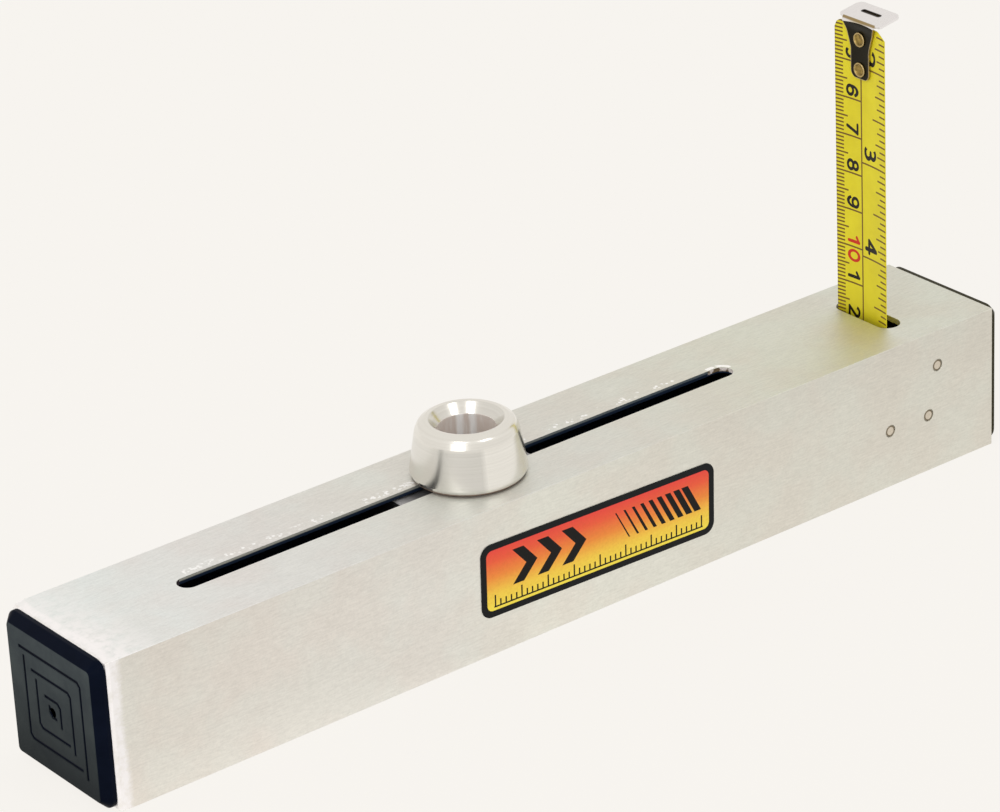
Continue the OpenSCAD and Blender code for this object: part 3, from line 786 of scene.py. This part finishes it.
def make_figures():
    """A group that inks one figure: every figure's strokes are worked out, and the wanted one is kept."""
    group, given, result = new_group("tape_figures", {"Figure": "Float", "Place": "Vector"}, {"Ink": "Float"})
    inks = []
    for figure, (rings, bars) in FIGURES.items():
        masks = [bar_mask(given["Place"], *bar) for bar in bars]
        masks += [ring_mask(given["Place"], *ring) for ring in rings]
        inks.append(times(most(*masks), calc("COMPARE", given["Figure"], float(figure), 0.4)))
    feed(result["Ink"], plus(*inks))
    return group


tape_figures = make_figures()


def printed_figure(figure, along, across, centre_along, centre_across, width, height):
    """Ink of a figure turned a quarter: it reads down the tape, and its top points to the inch side.
    The tape's own lengths, in mm, are divided by the figure's width and height."""
    place = joined(times(minus(along, centre_along), 0.62 / width), times(minus(centre_across, across), 1 / height),
                   0.0)
    return use_group(tape_figures, Figure=figure, Place=place)["Ink"]


def scale_lines(reading, step, from_edge, shortest, longer):
    """1 on the lines of a scale, each from the edge inwards: the shortest length, and more by an amount
    where the line's number is a multiple of a count."""
    number = nearest(divided(reading, step))
    length = shortest
    for count, amount in longer:
        length = times_plus(every(number, count), amount, length)
    return times(below(apart(reading, times(number, step)), LINE), below(from_edge, length))


def every(number, count):
    """1 where a whole number is a multiple of count."""
    return below(size_of(wrapped(plus(number, 0.5), float(count), 0.0)), 1.0)


# in mm: the printed middle line's place, a line's half width, the two scales' steps
MIDDLE = 0.4
LINE = 0.22
CM = 10.0
INCH = 25.4
TAPE_YELLOW = (0.82, 0.705, 0.026, 1)
TAPE_SHADE = (0.75, 0.63, 0.020, 1)
# painted shade: the run inside the tube, dim and dark
TAPE_DIM = (0.10, 0.085, 0.012, 1)
TAPE_DARK = (0.06, 0.05, 0.010, 1)
TICK_BROWN = (0.17, 0.088, 0.018, 1)
FIGURE_BLACK = (0.012, 0.008, 0.006, 1)
FIGURE_RED = (0.62, 0.035, 0.012, 1)


def printed_tape():
    """The blade's front. The tape's own height is found from where a point is now and where it was at
    rest: moved = share x travel, so travel = moved / share, and reading = zero height + travel - height.
    Centimetres count on the far edge and inches on the near one, both down from the hook's top."""
    place, finish = new_material("tape_print")
    _, y, z = parts_of(place)
    moved = minus(z, kept_value(place, "tape_rest"))
    travel = divided(moved, most(kept_value(place, "tape_share"), 0.0005))
    reading = times_plus(minus(travel, z), 1 / MM, (HOOK_Z + TUBE_TOP) / MM)
    across = times(y, 1 / MM)
    half = BLADE_W / MM / 2

    ticks = most(
        scale_lines(reading, 1.0, minus(half, across), 2.5, ((5, 1.3), (10, half - MIDDLE - 3.8))),
        scale_lines(reading, INCH / 16, plus(half, across), 2.35,
                    ((2, 0.95), (4, 0.7), (8, 1.1), (16, half + MIDDLE - 5.1))),
        below(apart(across, MIDDLE), LINE))

    # one black figure for each centimetre's last digit, and both red digits at each ten
    cell = calc("CEIL", divided(reading, CM))
    figure = nearest(wrapped(cell, 10.0, 0.0))
    black = printed_figure(figure, reading, across, times_plus(cell, CM, -2.2), 3.5, 3.3, 4.1)
    black = times(black, minus(1.0, every(cell, 10)))
    ten = nearest(divided(reading, 10 * CM))
    ten_line = times(ten, 10 * CM)
    close = times(below(apart(reading, ten_line), CM / 2), above(ten, 0.5))
    one = printed_figure(ten, reading, across, plus(ten_line, -1.9), 3.4, 3.3, 4.1)
    nought = printed_figure(0.0, reading, across, plus(ten_line, 2.4), 3.4, 3.5, 4.1)
    red = times(most(one, nought), close)
    cell = calc("CEIL", divided(reading, INCH))
    black = most(black, printed_figure(cell, reading, across, times_plus(cell, INCH, -3.2), -2.85, 4.2, 4.6))

    wear = noise(place, 140.0, 4.0)
    colour = blend(spread(wear, 0.35, 0.65), TAPE_SHADE, TAPE_YELLOW)
    # painted shade: the blade darker and olive just above the tube
    colour = blend(spread(z, TUBE_TOP, TUBE_TOP + 14 * MM, 0.12, 0.0), colour, (0.20, 0.14, 0.01, 1))
    for ink, ink_colour in ((ticks, TICK_BROWN), (red, FIGURE_RED), (black, FIGURE_BLACK)):
        colour = blend(ink, colour, ink_colour)
    return finish(colour, by_noise(wear, 0.30, 0.42), specular=0.2)


def plain_tape(name, shade, paint):
    """The blade's back, and the run inside the tube in dim colours painted as its shade: paint without print, a
    little scuffed.
    """
    place, finish = new_material(name)
    scuffs = use_group(brush_streaks, Place=place, Density=(900.0, 900.0, 60.0))
    return finish(blend(by_noise(scuffs["Streak"], 0.0, 1.0), shade, paint), by_noise(scuffs["Cloud"], 0.32, 0.48),
                  specular=0.2, relief=(scuffs["Streak"], 0.04, FINE))


# ---------------------------------------------------------------- label
def printed_label():
    """The label: black border, a field that runs from red to yellow, three chevrons, a row of measuring
    marks and a fading slanted screen. All of it comes from distances in the label's own turned plane."""
    place, finish = new_material("label_print")
    centre = tuple((a + b) / 2 for a, b in zip(label_low, label_high))
    flat = put(place.id_data, "ShaderNodeMapping", Vector=place, Location=centre, Rotation=(0.0, LABEL_TILT, 0.0))
    flat.vector_type = "TEXTURE"
    x, _, z = parts_of(flat.outputs[0])
    u, v = times(x, 1 / MM), times(z, 1 / MM)

    half_u, half_v, border, corner = 36.05, 9.55, 1.65, 1.7
    out_u = most(minus(size_of(u), half_u - border - corner), 0.0)
    out_v = most(minus(size_of(v), half_v - border - corner), 0.0)
    inside = below(hypot(out_u, out_v), corner)
    field = ramp(spread(v, -8.2, 8.2), [
        (0.0, (0.98, 0.82, 0.09, 1)), (0.28, (0.97, 0.64, 0.08, 1)), (0.55, (0.92, 0.29, 0.055, 1)),
        (0.8, (0.89, 0.125, 0.055, 1)), (1.0, (0.86, 0.07, 0.06, 1))])

    chevrons_u, step, thick, half_high = 22.5, 7.5, 3.4, 4.6
    raised = plus(v, -1.6)
    pushed = plus(u, times(size_of(raised), 0.9))
    chevrons = times(below(wrapped(plus(pushed, chevrons_u), step, 0.0), thick), within(pushed, -chevrons_u, 0.0),
                     within(raised, -half_high, half_high))
    rule_v, rule_u, mark_step = 7.0, 32.4, 1.6
    over_rule, on_rule = plus(v, rule_v), below(size_of(u), rule_u)
    marks = times(scale_lines(u, mark_step, over_rule, 1.7, ((5, 1.4),)), above(v, -rule_v), on_rule)
    rule = times(below(size_of(over_rule), 0.2), on_rule)
    slant = plus(u, times(v, 0.55))
    thick = spread(slant, 6.0, 30.0, 0.25, 2.1)
    screen = times(below(wrapped(slant, 2.6, 0.0), thick), within(slant, 6.5, 31.0), within(v, -2.2, 5.4))

    dots = noise(place, 1800.0, 2.0)
    field = blend(spread(dots, 0.4, 0.7, 0.0, 0.12), field, (0.5, 0.12, 0.02, 1))
    colour = blend(most(chevrons, screen, marks, rule), field, (0.008, 0.007, 0.006, 1))
    return finish(blend(inside, (0.006, 0.007, 0.008, 1), colour), by_noise(dots, 0.36, 0.46), specular=0.12)


# ---------------------------------------------------------------- all materials
tube_metal = tube_finish()
block_metal = block_finish()
knob_metal = knob_finish()
washer_metal = washer_finish()
screw_metal = turned_metal("screw_steel", (0.50, 0.50, 0.50, 1), (0.42, 0.42, 0.42, 1), 0.3)
pin_metal = pin_finish()
clamp_metal = brushed_metal("clamp_steel", (0.55, 0.55, 0.55, 1), (0.42, 0.42, 0.42, 1), (40.0, 1800.0, 1800.0))
cap_plastic = cap_finish()
block_plastic = moulded_plastic("block_plastic", (0.045, 0.042, 0.018, 1), (0.06, 0.056, 0.025, 1))
nylon = moulded_plastic("nylon", (0.78, 0.76, 0.70, 1), (0.70, 0.68, 0.62, 1))
brass = turned_metal("brass", (0.66, 0.50, 0.24, 1), (0.50, 0.36, 0.15, 1), 0.22)
rivet_brass = rivet_finish()
tape_print = printed_tape()
tape_back = plain_tape("tape_back", TAPE_SHADE, TAPE_YELLOW)
tape_run_shaded = plain_tape("tape_run_shaded", TAPE_DARK, TAPE_DIM)
label_print = printed_label()


def fill_out_cap(cap):
    """Brings a cap's flange up to the tube's top and far side: a push that grows with the sixth power of
    the distance from the middle, so the grooves stay where they are."""
    push = 0.42 * MM
    spots = np.empty(len(cap.data.vertices) * 3)
    cap.data.vertices.foreach_get("co", spots)
    spots = spots.reshape(-1, 3)
    flange = np.abs(spots[:, 0]) > TUBE_L / 2 - 0.05 * MM
    middle, half = TUBE_TOP / 2, TUBE_TOP / 2 - 0.5 * MM
    spots[:, 2] += push * flange * np.clip((spots[:, 2] - middle) / half, 0, 1) ** 6
    spots[:, 1] += push * flange * np.clip(spots[:, 1] / half, 0, 1) ** 6
    cap.data.vertices.foreach_set("co", spots.ravel())
    cap.data.update()


# the solids that stay as they are
for node, material in (
        ("guide_block", block_plastic), ("guide_roller", nylon), ("roller_spacers", nylon),
        ("slot_bush", brass), ("knob_washer", washer_metal), ("blade_clamp", clamp_metal),
        ("clamp_screws", screw_metal), ("label", label_print)):
    give_material(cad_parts[node].data, material)

eased_copy("tube_body", "tube", 0.12 * MM, "body", tube_metal)
for node, name in (("knob_end_cap", "knob_end_plug"), ("tape_end_cap", "tape_end_plug")):
    fill_out_cap(eased_copy(node, name, 0.22 * MM, "body", cap_plastic))
eased_copy("slider_block", "slider", 0.3 * MM, "slider", block_metal)
eased_copy("knob_screw", "knob_bolt", 0.25 * MM, "slider", screw_metal)


# ---------------------------------------------------------------- knob
def make_knob():
    """The turned ring: a low skirt over the washer's edge, tapered side, rounded shoulder, narrow rim,
    dished mouth, bore and floor."""
    corners = [(2.05, 0.0), (13.54, 0.0), (13.6, -0.38), (13.8, -0.38), (14.2, 0.5), (12.5, 10.5), (11.7, 12.4),
               (10.0, 13.4), (9.1, 13.35), (6.9, 10.9), (6.9, 2.4), (2.05, 2.4), (2.05, 0.0)]
    radii = [0, 0.05, 0.05, 0.15, 0.5, 0.7, 2.2, 0.8, 0.5, 0.4, 0.3, 0.1, 0]
    profile = rounded_profile(corners, radii, 7)[:-1] * MM
    knob = turned_piece("knob_ring", profile, [(KNOB_X, 0, KNOB_Z)], "Z", 192)
    knob.data.materials.append(knob_metal)
    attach(knob, "slider")
    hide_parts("knob")


make_knob()


# ---------------------------------------------------------------- pins
def make_pins():
    """Cross pins with bevelled ends."""
    bevel, reach = 0.25 * MM, pin_high[1]
    profile = np.array([(0, -reach), (PIN_R - bevel, -reach), (PIN_R, -reach + bevel),
                        (PIN_R, reach - bevel), (PIN_R - bevel, reach), (0, reach)])
    for name, node, places in (("block_dowels", "block_pins", PIN_PLACES[1:]),
                               ("roller_dowel", "roller_pin", PIN_PLACES[:1])):
        pins = turned_piece(name, profile, [(x, 0, z) for x, z in places], "Y", 48)
        pins.data.materials.append(pin_metal)
        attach(pins, "body")
        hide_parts(node)


make_pins()


# ---------------------------------------------------------------- tape
TAPE_START = ROLLER_Z
TAPE_END = HOOK_Z - 15.0 * MM


def ease(t):
    """Smooth step: 3 t^2 - 2 t^3, held at 0 and 1."""
    t = np.clip(t, 0, 1)
    return t * t * (3 - 2 * t)


def hollow(y, share):
    """How far the blade's middle stands behind its edges: a parabola across, times a share."""
    return BLADE_HOLLOW * share * (1 - (2 * y / BLADE_W) ** 2)


def add_thickness(piece, thickness, offset, back_slot):
    """Makes a sheet solid, its back and rim with a material of their own."""
    solid = piece.modifiers.new("thickness", "SOLIDIFY")
    solid.thickness = thickness
    solid.offset = offset
    solid.material_offset = solid.material_offset_rim = back_slot
    return solid


def make_tape():
    """The upright blade: a grid over width and height, hollow towards the knob, that grows its hollow
    above the roller. Its far top corner is rounded and the near one is cut at a slant."""
    half, radius, cut = BLADE_W / 2, 2.4 * MM, 3.1 * MM
    across = np.linspace(-half, half, 33)
    into = np.clip(across - (half - radius), 0, radius)
    top = blade_high[2] - 0.2 * MM - (radius - np.sqrt(radius ** 2 - into ** 2)) * 0.9
    top = top - np.clip(-across - (half - cut), 0, cut) * 0.55
    height = ROLLER_Z + (top - ROLLER_Z) * np.linspace(0, 1, 120)[:, None]
    y = np.broadcast_to(across, height.shape)
    grown = ease((height - ROLLER_Z) / (17.5 * MM))
    x = BLADE_X - BLADE_T / 2 + hollow(y, grown)
    tape = make_piece("tape", np.stack([x, y, height], -1), grid_faces(*height.shape))
    add_lengths(tape.data, "tape_rest", height)
    add_lengths(tape.data, "tape_share", ease((height - TAPE_START) / (TAPE_END - TAPE_START)))
    tape.data.materials.append(tape_print)
    tape.data.materials.append(tape_back)
    turn_towards_knob(tape.data)
    add_thickness(tape, BLADE_T, -1, 1)
    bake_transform(tape)
    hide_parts("tape_blade")


def turn_towards_knob(mesh):
    """Flips a sheet's faces if the first one, low on its upright part, looks away from the knob."""
    if mesh.polygons[0].normal[0] > 0:
        mesh.flip_normals()


def make_tape_run():
    """The blade's quarter turn round the roller and its flat run to the slider."""
    clamp_low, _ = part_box("blade_clamp")
    columns = 9
    angle = np.linspace(0, -math.pi / 2, 20)
    turn = np.stack([ROLLER_X + BEND_R * np.cos(angle), ROLLER_Z + BEND_R * np.sin(angle)], -1)
    x = np.linspace(ROLLER_X, clamp_low[0], 60)[1:]
    path = np.vstack([turn, np.stack([x, np.full_like(x, RUN_Z)], -1)])
    across = np.linspace(-BLADE_W / 2, BLADE_W / 2, columns)
    points = np.stack(np.broadcast_arrays(path[:, :1], across, path[:, 1:]), -1)
    run = make_piece("tape_run", points, grid_faces(len(path), columns))
    run.data.materials.append(tape_run_shaded)
    add_thickness(run, BLADE_T, 0, 0)
    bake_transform(run)
    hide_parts("tape_blade")


make_tape()
make_tape_run()


# ---------------------------------------------------------------- hook
def half_width(s, bend_start, bend_end, total):
    """Half the hook's width at a distance s from the leg's foot: a rounded foot, a narrow leg, a straight
    flare from the waist up to the bend, then the wider plate with four round corners."""
    foot_r, leg, top, plate, corner = 1.9 * MM, 3.25 * MM, 5.5 * MM, 7.4 * MM, 1.9 * MM
    waist = bend_start - 7.0 * MM
    flare = np.clip((s - waist) / (bend_start - waist), 0, 1)
    width = leg + (top - leg) * flare ** 1.2
    foot = np.clip(foot_r - s, 0, foot_r)
    width = width - (foot_r - np.sqrt(foot_r ** 2 - foot ** 2))
    widen = np.clip((s - bend_end + 0.3 * MM) / (0.8 * MM), 0, 1)
    width = np.where(widen > 0, top + (plate - top) * np.sqrt(1 - (1 - widen) ** 2), width)
    end = np.clip(s - (total - corner), 0, corner)
    return width - (corner - np.sqrt(corner ** 2 - end ** 2))


def make_hook():
    """The bent sheet: distance s runs up the leg, round the bend and out along the plate, which tips up
    by 9 degrees. The leg takes the blade's hollow, which fades out up to the bend. The grid leaves out the
    cells inside the plate's slit."""
    bend_r, tip = 0.75 * MM, math.radians(9)
    turn = math.pi / 2 - tip
    leg = LEG_L - bend_r - HOOK_T / 2
    bend_end = leg + bend_r * turn
    total = bend_end + 7.4 * MM
    foot, off_centre = 2.4 * MM, 0.15 * MM
    slit_at, slit_l, slit_w = bend_end + 4.1 * MM, 6.0 * MM, 0.6 * MM
    s = np.concatenate([np.linspace(0, foot, 14)[:-1], np.linspace(foot, leg, 40)[:-1],
                        np.linspace(leg, bend_end, 12)[:-1], np.linspace(bend_end, total, 88)])
    angle = np.clip((s - leg) / bend_r, 0, turn)
    out = np.clip(s - bend_end, 0, None)
    rise = np.minimum(s, leg) + bend_r * np.sin(angle) + out * math.sin(tip)
    reach = bend_r * (1 - np.cos(angle)) + out * math.cos(tip)
    u = np.linspace(-1, 1, 111)
    half = half_width(s, leg, bend_end, total)[:, None]
    y = half * u + off_centre * ease(out / (1.5 * MM))[:, None]
    fade = 1 - ease((s[:, None] - leg + 2.6 * MM) / (3.4 * MM))
    front = BLADE_X - BLADE_T / 2 - FIT - HOOK_T / 2
    x = front + hollow(y, 1) * fade + reach[:, None]
    z = np.broadcast_to(HOOK_Z - LEG_L + rise[:, None], y.shape)
    points = np.stack([x, y, z], -1)
    faces = grid_faces(*y.shape)
    cells_y = points.reshape(-1, 3)[faces].mean(axis=1)[:, 1]
    rows = faces[:, 0] // y.shape[1]
    cells_s = (s[rows] + s[rows + 1]) / 2
    beyond = np.clip(np.abs(cells_y - off_centre) - (slit_l - slit_w) / 2, 0, None)
    faces = faces[np.hypot(beyond, cells_s - slit_at) > slit_w / 2]
    hook = make_piece("hook", points, faces, 50)
    add_lengths(hook.data, "sheet_run", np.broadcast_to(s[:, None], y.shape) / MM)
    add_lengths(hook.data, "sheet_edge", np.minimum(half * (1 - np.abs(u)), s[:, None]) / MM)
    slit = [size / MM for size in (slit_at, off_centre, slit_l, slit_w)]
    for name, rubbed in (("hook_face", False), ("hook_rim", True)):
        hook.data.materials.append(hook_finish(name, leg / MM, bend_end / MM, slit, rubbed))
    turn_towards_knob(hook.data)
    add_thickness(hook, HOOK_T * 0.8, 0, 1).use_even_offset = True
    edge = hook.modifiers.new("rolled_edge", "BEVEL")
    edge.width, edge.segments, edge.limit_method = 0.1 * MM, 2, "ANGLE"
    edge.angle_limit = math.radians(50)
    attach(hook, "hook")
    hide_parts("tape_hook")


make_hook()


# ---------------------------------------------------------------- rivets
def make_rivets():
    """Hollow rivets: a rolled rim round a dished eye in front, a flat head behind."""
    front = BLADE_X + BLADE_HOLLOW - BLADE_T / 2 - 2 * FIT - HOOK_T
    back = BLADE_X + BLADE_HOLLOW + BLADE_T / 2 + FIT
    rim = 0.4
    start = front - rim * MM
    length = (back + rim * MM - start) / MM
    corners = [(0.0, 0.42), (1.2, 0.38), (1.6, 0.04), (1.74, 0.0), (1.9, 0.15), (1.9, rim), (1.4, rim),
               (1.4, length - rim), (2.1, length - rim), (2.1, length - 0.1), (1.6, length), (0.8, length),
               (0.0, length - 0.1)]
    radii = [0, 0.4, 0.3, 0.35, 0.25, 0.1, 0.0, 0.0, 0.1, 0.2, 0.3, 0.3, 0]
    profile = rounded_profile(corners, radii, 5) * MM
    places = [(start, 0, HOOK_Z - drop) for drop in RIVET_DROPS]
    rivets = turned_piece("rivets", profile, places, "X", 64)
    rivets.data.materials.append(rivet_brass)
    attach(rivets, "tape_end")
    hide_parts("hook_rivets")


make_rivets()


# ---------------------------------------------------------------- floor, lamps and world
BACKGROUND = (0.943, 0.915, 0.872, 1)
LAMP_AIM = (0, 0, 0.03)


def seen_rays(tree):
    """Two shares: 1 for camera, glossy and transmission rays, and 1 for glossy rays alone."""
    path = tree.nodes.new("ShaderNodeLightPath").outputs
    glossy = path["Is Glossy Ray"]
    return most(path["Is Camera Ray"], most(glossy, path["Is Transmission Ray"])), glossy


def show_mixed(tree, share, first, second, output):
    """Mixes two shader nodes by a share into the tree's output."""
    mix = tree.nodes.new("ShaderNodeMixShader")
    feed_in_order(mix, share, first.outputs[0], second.outputs[0])
    feed(tree.nodes.new(output).inputs[0], mix.outputs[0])


def make_floor():
    """A wide pale floor. To the camera and in reflections part of it is its own plain colour."""
    mesh = bpy.data.meshes.new("floor")
    side, level = 6.0, -0.0002
    mesh.from_pydata([(-side, -side, level), (side, -side, level), (side, side, level), (-side, side, level)],
                     [], [(0, 1, 2, 3)])
    floor = add_object("floor", mesh)
    material = bpy.data.materials.new("floor_paper")
    material.use_nodes = True
    tree = material.node_tree
    tree.nodes.clear()
    matt = put(tree, "ShaderNodeBsdfDiffuse", Color=(0.86, 0.84, 0.80, 1))
    plain = put(tree, "ShaderNodeEmission", Color=BACKGROUND, Strength=1.0)
    seen, _ = seen_rays(tree)
    show_mixed(tree, times(seen, 0.93), matt, plain, "ShaderNodeOutputMaterial")
    mesh.materials.append(material)


def make_lamp(name, place, size, power):
    """A square soft lamp at a place, turned to a point over the middle of the floor."""
    data = bpy.data.lights.new(name, "AREA")
    data.shape, data.size, data.energy = "SQUARE", size, power
    back = np.array(place) - np.array(LAMP_AIM)
    back = back / np.linalg.norm(back)
    side = np.cross((0, 0, 1), back)
    side = side / np.linalg.norm(side)
    add_object(name, data).matrix_world = turned_to(side, np.cross(back, side), back, place)


def make_world():
    """A plain bright room: white to the camera, in gloss and through glass, dimmer as a light."""
    world = bpy.data.worlds.new("room")
    bpy.context.scene.world = world
    world.use_nodes = True
    tree = world.node_tree
    tree.nodes.clear()
    seen, glossy = seen_rays(tree)
    light = put(tree, "ShaderNodeBackground", Color=(0.97, 0.98, 1.0, 1), Strength=0.80)
    shown = put(tree, "ShaderNodeBackground", Color=BACKGROUND, Strength=without(glossy, 0.08))
    show_mixed(tree, seen, light, shown, "ShaderNodeOutputWorld")


make_floor()
make_world()
make_lamp("key_lamp", (-0.95, -0.55, 1.5), 0.5, 3.2)
make_lamp("fill_lamp", (0.31, -1.14, 1.47), 0.45, 2.5)
make_lamp("side_lamp", (-1.93, -1.22, 0.9), 1.1, 6)

bpy.context.scene.view_settings.view_transform = "Standard"
